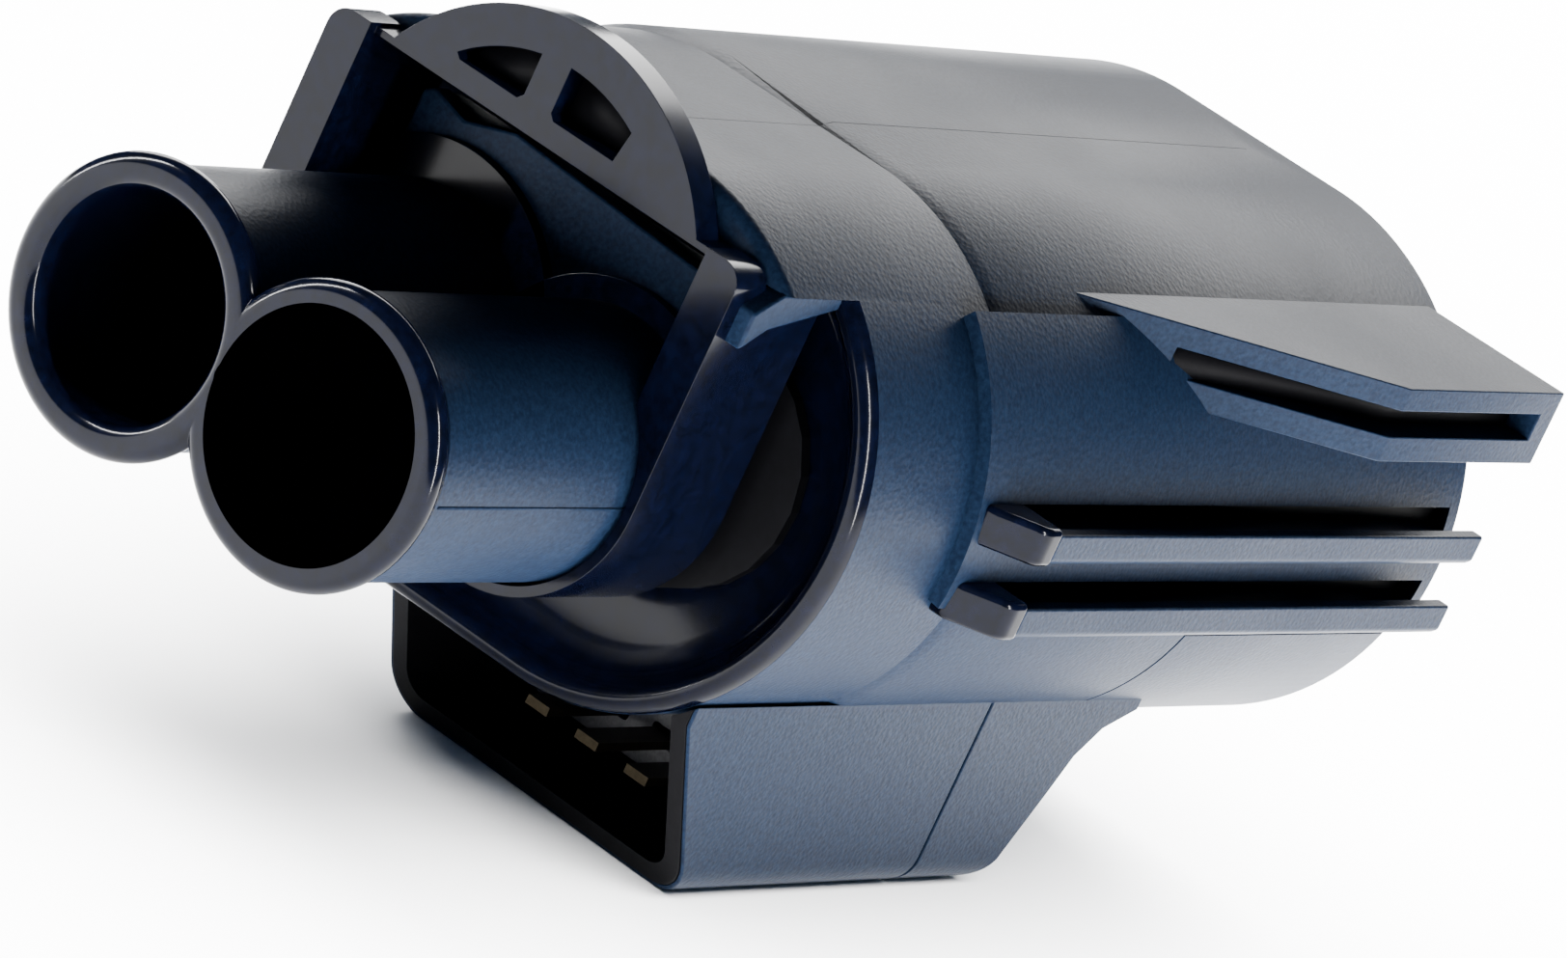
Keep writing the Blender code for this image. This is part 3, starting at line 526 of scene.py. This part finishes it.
head = slab("head_moulding", head_outline(), (head_low.y, head_high.y), "Y")
through = (head_low.y - 1, head_high.y + 1)
carve(head, block("pocket", (-CHEEK_IN, CHEEK_IN), through, (-6.3, 30)))
for side in (-1, 1):
    carve(head, rod(f"tube_clearance_{side}", side * PORT_X, 0, TUBE_R + 0.3, through))
carve(head, block("brow_clearance", (-40, 40), (HOOD_BACK, 45), (20.0, 40)))
carve(head, slab("hood", hood_outline(), (HOOD_FRONT, HOOD_BACK), "Y"), "UNION")
for label, near, far in (("left", -3.3, -10.6), ("right", -0.3, 7.2)):
    outline = window_outline(near, far)
    carve(head, slab("window", outline, (HOOD_FRONT - 1, HOOD_BACK - 0.6), "Y"))
    # A near-black plate at the floor of each blind window is painted shade that keeps the window dark.
    blind = slab(f"window_painted_shade_{label}", outline, (HOOD_BACK - 0.7, HOOD_BACK - 0.4), "Y")
    dress(blind, "inner_black")
soften(head, 0.45)
dress(head, "gloss_black")
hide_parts("front_head")
gusset = [(28.6, 15.4), (31.3, 17.2), (39.6, 19.2), (39.6, 20.35), (31.6, 20.35), (28.6, 18.6)]
shoulder = slab("cheek_shoulder", gusset, (22.0, 23.9), "X")
soften(shoulder, 0.3)
dress(shoulder, "grain_black")
print("head faces:", len(head.data.polygons))

# %% [markdown]
# ## The front shell
# The front shell is a short obround whose face is set back below its brow. The outside is grained, but the
# face and its rounded rim come from a polished insert in the mould, so they are a smooth piece of their own.
# The face dishes away behind the rim.

# %% Front shell
WALL = 2.2
BROW_Z = 20.3
SEAM_X = 3.0
FACE_SEAM = FACE_Y + 1.45
TRIM_R = FRONT_R - 1.2
BORE_SPAN = (FACE_Y - 2, FACE_Y + 6)


def seam_groove(name, y, radius):
    """A cutter for the shallow parting line along the top."""
    top = BODY_Z + radius
    return slab(name, [(SEAM_X - 0.16, top + 1), (SEAM_X, top - 0.22), (SEAM_X + 0.16, top + 1)], y, "Y")


brow_rim = [(front_low.y + 1.2 * (1 - math.cos(a)), FRONT_R - 1.2 * (1 - math.sin(a)))
            for a in [math.radians(15 * i) for i in range(7)]]
front = loft("front_shell_moulding", [*brow_rim, (STEP_Y + 0.3, FRONT_R)])
carve(front, block("below_brow", (-60, 60), (front_low.y - 2, FACE_SEAM), (-60, BROW_Z)))
seat = loft("face_seat", [(FACE_SEAM - 0.5, TRIM_R), (FACE_Y + 4.6, TRIM_R)])
carve(seat, block("brow_keep", (-60, 60), (front_low.y, 60), (BROW_Z, 60)))
carve(front, seat)
carve(front, loft("front_hollow", [(FACE_Y + 5.0, FRONT_R - WALL), (STEP_Y + 1, FRONT_R - WALL)]))
for side in (-1, 1):
    carve(front, rod(f"front_bore_{side}", side * PORT_X, 0, BORE_R, BORE_SPAN))
carve(front, seam_groove("front_seam", (front_low.y - 1, STEP_Y + 1), FRONT_R))
soften(front, 0.12, 2)
dress(front, "grain_black")
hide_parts("front_shell")
print("front shell faces:", len(front.data.polygons))

# %% Polished face
face_rings = [(FACE_Y + 4.5, TRIM_R - 0.05), (FACE_SEAM + 0.04, TRIM_R - 0.05), (FACE_SEAM, FRONT_R - 0.02)]
face_rings += [(FACE_Y + 0.8, 23.05), (FACE_Y + 0.3, 22.75), (FACE_Y, 22.2), (FACE_Y + 0.1, 21.7)]
face_rings += [(FACE_Y + 0.5, 21.25), (FACE_Y + 1.3, 20.8), (FACE_Y + 2.3, 20.2), (FACE_Y + 3.0, 19.2)]
face_rings += [(FACE_Y + 3.4, 17.6), (FACE_Y + 3.7, 15.0), (FACE_Y + 3.9, 11.0), (FACE_Y + 4.0, 6.0)]
face = loft("polished_face", face_rings)
carve(face, block("brow_room", (-60, 60), (FACE_Y - 2, FACE_Y + 6), (BROW_Z, 60)))
for side in (-1, 1):
    carve(face, rod(f"face_bore_{side}", side * PORT_X, 0, BORE_R, BORE_SPAN))
soften(face, 0.1, 2, angle=60)
dress(face, "gloss_black")
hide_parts("front_shell")
print("face faces:", len(face.data.polygons))

# %% [markdown]
# ## The rear shell and the tail cover
# The rear shell is one long obround, a hair larger than the front one. It starts with a short ramp, which
# catches light as a streak. The lower back is a separate cover. Both come from the same open loft: a bisect puts an edge along
# the seam, the faces beyond it are deleted, and Solidify gives the wall.


# %% Rear shell and tail cover
SEAM_Y, SEAM_Z = tail_low.y, tail_high.z
RAIL_ROOTS = {"upper": 7.6, "lower": 0.9}
rail_rooms = {label: (root - 2.0, root + 0.1) for label, root in RAIL_ROOTS.items()}


def body_skin(name, y_from, keep):
    """An open skin of the rear body that keeps the faces for which keep(y, z) is true."""
    radii = {y_from + 1.7: REAR_R, SEAM_Y - 0.3: REAR_R, SEAM_Y: REAR_R, BACK_Y - 1.2: REAR_R}
    radii |= {BACK_Y - 0.4: REAR_R - 0.35, BACK_Y: REAR_R - 1.0, y_from: REAR_R if y_from > STEP_Y else FRONT_R}
    bm = bmesh.new()
    bridge_rings(bm, sorted((y, radius) for y, radius in radii.items() if y >= y_from))
    for height in (SEAM_Z, SEAM_Z + 0.3):
        geometry = bm.verts[:] + bm.edges[:] + bm.faces[:]
        bmesh.ops.bisect_plane(bm, geom=geometry, plane_co=at(0, 0, height), plane_no=(0, 0, 1))
    gone = []
    for face in bm.faces:
        middle = (face.calc_center_median() - DATUM) / MM
        if not keep(middle.y, middle.z):
            gone.append(face)
    bmesh.ops.delete(bm, geom=gone, context="FACES")
    skin = new_piece(name, bm)
    wall = skin.modifiers.new("Wall", "SOLIDIFY")
    wall.thickness = WALL * MM
    wall.offset = -1
    wall.use_even_offset = True
    return skin


def bake_modifiers(piece):
    graph = bpy.context.evaluated_depsgraph_get()
    piece.data = bpy.data.meshes.new_from_object(piece.evaluated_get(graph))
    piece.modifiers.clear()


rear = body_skin("rear_shell_moulding", STEP_Y, lambda y, z: y < SEAM_Y - 0.3 or z > SEAM_Z + 0.3)
bake_modifiers(rear)
carve(rear, seam_groove("rear_seam", (STEP_Y - 1, BACK_Y - 6), REAR_R))
carve(rear, block("lead_hole", (1, 19), (89.5, 94.5), (-30, -15)))
for low, high in rail_rooms.values():
    carve(rear, block("rail_room", (31.9, 45), (60.5, BACK_Y - 2.5), (low, high)))
soften(rear, 0.22)
dress(rear, "grain_black")
tail = body_skin("tail_cover_moulding", SEAM_Y, lambda y, z: z < SEAM_Z)
bake_modifiers(tail)
soften(tail, 0.22)
dress(tail, "grain_black")
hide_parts("rear_shell")
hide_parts("tail_cover")
print("rear shell faces:", len(rear.data.polygons), "tail cover faces:", len(tail.data.polygons))

# %% [markdown]
# ## The side panel, the guide rails and the snap wedge
# A slightly raised panel stiffens the right lobe. Two channels stand on it, open upward, each with a block at
# its front end that stops the bracket's tongue. Above them a slotted wedge lifts the bracket's latch as the
# pump slides in, and holds it behind its square end.


# %% Side panel
PAD_R = REAR_R + 0.8


PANEL_FRONT = 55.3


def panel_outline():
    outer = arc(PORT_X, BODY_Z, PAD_R, -8, 50, 48)
    inner = arc(PORT_X, BODY_Z, REAR_R - 1.0, 50, -8, 24)
    return outer + inner


panel = slab("side_panel", panel_outline(), (PANEL_FRONT, BACK_Y - 1.0), "Y")
for label, (low, high) in rail_rooms.items():
    carve(panel, block("rail_room", (31.9, 45), (60.5, BACK_Y - 2.5), (low, high)))
    # A near-black block at the back of each channel is painted shade that darkens the channel's depth.
    rail_shade = block(f"rail_painted_shade_{label}", (31.3, 32.6), (60.4, BACK_Y - 2.4), (low - 0.1, high + 0.1))
    dress(rail_shade, "inner_black")
soften(panel, 0.35)
dress(panel, "grain_black")
print("side panel faces:", len(panel.data.polygons))

# %% Guide rails
RAIL_OUT = 38.2
RAIL_FRONT, RAIL_END = 61.8, 127.0


def rail_outline(root):
    base, inner, wall = root - 3.2, 30.0, 1.3
    return [(inner, base), (RAIL_OUT - 0.6, base), (RAIL_OUT, base + 0.6), (RAIL_OUT, root - 0.3),
            (RAIL_OUT - wall, root - 0.3), (RAIL_OUT - wall, base + wall), (inner, base + wall)]


def nose_outline():
    tip = arc(RAIL_OUT - 1.8, RAIL_FRONT - 1.4, 1.8, -58, 0, 8)
    return [(30.0, RAIL_FRONT), (30.0, PANEL_FRONT + 0.8), (34.4, PANEL_FRONT + 0.8), *tip, (RAIL_OUT, RAIL_FRONT)]


for label, root in RAIL_ROOTS.items():
    rail = slab(f"guide_rail_{label}", rail_outline(root), (RAIL_FRONT - 0.5, RAIL_END), "Y")
    soften(rail, 0.25)
    dress(rail, "grain_black")
    nose = slab(f"rail_nose_{label}", nose_outline(), (root - 3.3, root + 0.1), "Z")
    soften(nose, 0.6, 4)
    dress(nose, "gloss_black")
print("rails:", sorted(RAIL_ROOTS))

# %% Snap wedge
WEDGE_OUT = rear_high.x
WEDGE_LOW, WEDGE_HIGH = 14.6, 21.4
SLOT_LOW, SLOT_HIGH = 16.9, 19.3
WEDGE_TIP, WEDGE_SHOULDER, WEDGE_END = 74.5, 103.0, 128.0
wedge_outline = [(22, WEDGE_TIP - 5), (24.5, WEDGE_TIP), (WEDGE_OUT, WEDGE_SHOULDER)]
wedge_outline += [(WEDGE_OUT, WEDGE_END), (22, WEDGE_END)]
slot_outline = [(26.5, WEDGE_TIP + 8), (WEDGE_OUT - 4.5, WEDGE_SHOULDER + 2), (WEDGE_OUT - 4.5, WEDGE_END - 2.4)]
slot_outline += [(45, WEDGE_END - 2.4), (45, WEDGE_TIP + 8)]
snap_wedge = slab("snap_wedge", wedge_outline, (WEDGE_LOW, WEDGE_HIGH), "Z")
carve(snap_wedge, loft("inside_of_body", [(60, REAR_R - 1.0), (129, REAR_R - 1.0)]))
carve(snap_wedge, slab("wedge_slot", slot_outline, (SLOT_LOW, SLOT_HIGH), "Z"))
# A near-black plate at the back of the wedge's slot is painted shade that keeps the slot dark.
slot_shade_outline = [(26.5, WEDGE_TIP + 8), (WEDGE_OUT - 4.6, WEDGE_SHOULDER + 2), (WEDGE_OUT - 4.6, WEDGE_END - 2.3)]
slot_shade_outline += [(WEDGE_OUT - 2.6, WEDGE_END - 2.3), (WEDGE_OUT - 2.6, WEDGE_SHOULDER + 2.5), (28.5, WEDGE_TIP + 8.6)]
slot_painted_shade = slab("slot_painted_shade", slot_shade_outline, (SLOT_LOW - 0.1, SLOT_HIGH + 0.1), "Z")
dress(slot_painted_shade, "inner_black")
soften(snap_wedge, 0.25)
dress(snap_wedge, "grain_black")
print("wedge faces:", len(snap_wedge.data.polygons))

# %% [markdown]
# ## The connector box
# The box hangs under the right lobe. Its mouth is cut back at a slant so a cable connector can be pressed in
# from the front and below, and a second moulding closes it behind a seam. Both are side profiles, extruded
# across, then trimmed to round lower corners and to the underside of the body.

# %% Box and harness cover
BOX_X = (housing_low.x, housing_high.x)
BOX_BASE = housing_low.z
BOX_WALL = 2.0
BOX_TOP = -12.0


# SKIN is the thickness of the box's grained outer skin; the rest of the wall is the painted-shade lining.
SKIN = 0.35


def section(inset, radius):
    """The box's cross-section, drawn in by an inset."""
    across = (BOX_X[0] + inset, BOX_X[1] - inset)
    return rounded(across, (BOX_BASE + inset, 30), radius, 10)


def trim_box(piece, outside, inside, cavity_y):
    """Rounds the lower corners, hollows the box and fits its top to the body."""
    carve(piece, slab("box_edge", outside, (20, 115), "Y"), "INTERSECT")
    carve(piece, slab("cavity", inside, cavity_y, "Y"))
    carve(piece, loft("body_underside", [(30, REAR_R - 0.1), (112, REAR_R - 0.1)]))


split = housing_high.y
mouth = [(41.0, BOX_TOP), (41.0, -16.5), (51.5, BOX_BASE), (split, BOX_BASE), (split, BOX_TOP)]
connector_box = slab("connector_box", mouth, BOX_X, "X")
trim_box(connector_box, section(0, 3.5), section(SKIN, 3.2), (30, split + 1))
soften(connector_box, 0.12, 2)
dress(connector_box, "grain_black")
# Inside the grained skin, a near-black lining is painted shade that keeps the box's mouth dark.
box_shade_side = [(41.0, BOX_TOP), (41.0, -16.6), (51.35, BOX_BASE), (split, BOX_BASE), (split, BOX_TOP)]
box_shade = slab("connector_box_painted_shade", box_shade_side, BOX_X, "X")
trim_box(box_shade, section(SKIN + 0.02, 3.2), section(BOX_WALL, 2.0), (30, split + 1))
soften(box_shade, 0.15, 2)
dress(box_shade, "inner_black")
for piece in (connector_box, box_shade):
    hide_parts("connector_housing")

back_edge = [(cover_low.y, BOX_TOP), (cover_low.y, BOX_BASE), (90.5, BOX_BASE)]
back_edge += arc(91.0, -28.5, 4.6, -80, -12, 8) + [(98.2, -23.5), (99.6, -20.2), (102.0, -17.6), (106.0, -15.8)]
back_edge += [(106.0, BOX_TOP)]
harness = slab("harness_cover_moulding", back_edge, BOX_X, "X")
trim_box(harness, section(0, 3.5), section(BOX_WALL, 2.0), (80, 94.0))
soften(harness, 0.3)
dress(harness, "grain_black")
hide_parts("harness_cover")
print("box faces:", len(connector_box.data.polygons), "cover faces:", len(harness.data.polygons))

# %% [markdown]
# ## Studio
# A pale floor under the box and a dim surround. A wide soft light stands above and behind, so the body's top
# turns light while the head's pocket stays dark. A wash from overhead is linked to the floor alone, whose
# glow lightens the undersides. Two narrow strips are linked to the polished pieces, and draw thin glints on
# their round edges.


# %% Floor, world and lights
def make_floor():
    bm = bmesh.new()
    bmesh.ops.create_grid(bm, x_segments=1, y_segments=1, size=3.0)
    floor = new_piece("floor", bm)
    paint = bpy.data.materials.new("floor_paint")
    paint.use_nodes = True
    shader = paint.node_tree.nodes["Principled BSDF"]
    shader.inputs["Base Color"].default_value = (0.92, 0.92, 0.92, 1)
    shader.inputs["Roughness"].default_value = 0.8
    floor.data.materials.append(paint)
    return floor


def soft_light(name, place, target, size, power, colour=(1, 1, 1)):
    light = bpy.data.lights.new(name, "AREA")
    light.shape = "RECTANGLE"
    light.size, light.size_y = size
    light.energy = power
    light.color = colour
    lamp = bpy.data.objects.new(name, light)
    lamp.location = place
    lamp.rotation_euler = (target - place).to_track_quat("-Z", "Y").to_euler()
    bpy.context.scene.collection.objects.link(lamp)
    return lamp


floor = make_floor()
world = bpy.data.worlds.new("surround")
world.use_nodes = True
world.node_tree.nodes["Background"].inputs["Color"].default_value = (0.45, 0.65, 1.0, 1)
world.node_tree.nodes["Background"].inputs["Strength"].default_value = 0.14
bpy.context.scene.world = world
middle = at(0, 70, 0)
soft_light("back_panel", at(-600, 1050, 600), middle, (1.6, 0.5), 46)
for name, place in (("side_strip", at(560, -60, 200)), ("front_strip", at(-520, -260, 200))):
    strip = soft_light(name, place, middle, (0.012, 0.5), 24)
    strip.light_linking.receiver_collection = polished
wash = soft_light("floor_wash", at(-100, 100, 1500), middle, (3.0, 3.0), 800)
floor_only = bpy.data.collections.new("floor_only")
floor_only.objects.link(floor)
wash.light_linking.receiver_collection = floor_only

# %% [markdown]
# ## Camera
# A long lens stands about thirty degrees round from the spigots towards the rails, a little above, and is
# rolled so that the pump leans across the picture.


# %% Camera
AZIMUTH, ELEVATION, ROLL = 30.99, 15.79, 25.0
DISTANCE, ASIDE, ABOVE = 743.6, 43.1, -8.2
FOCAL = 225.2


def camera_axes(azimuth, elevation, roll):
    """The camera's right, up and backward directions."""
    a, e, r = (math.radians(v) for v in (azimuth, elevation, roll))
    back = Vector((math.sin(a) * math.cos(e), -math.cos(a) * math.cos(e), math.sin(e)))
    right = Vector((0, 0, 1)).cross(back).normalized()
    up = back.cross(right)
    return math.cos(r) * right + math.sin(r) * up, math.cos(r) * up - math.sin(r) * right, back


right, up, back = camera_axes(AZIMUTH, ELEVATION, ROLL)
camera = bpy.data.objects.new("camera", bpy.data.cameras.new("camera"))
camera.data.lens = FOCAL
camera.data.clip_end = 20
bpy.context.scene.collection.objects.link(camera)
spot = DATUM + (right * ASIDE + up * ABOVE + back * DISTANCE) * MM
camera.matrix_world = Matrix.Translation(spot) @ Matrix((right, up, back)).transposed().to_4x4()
bpy.context.scene.camera = camera
print("camera at", [round(v, 3) for v in spot])
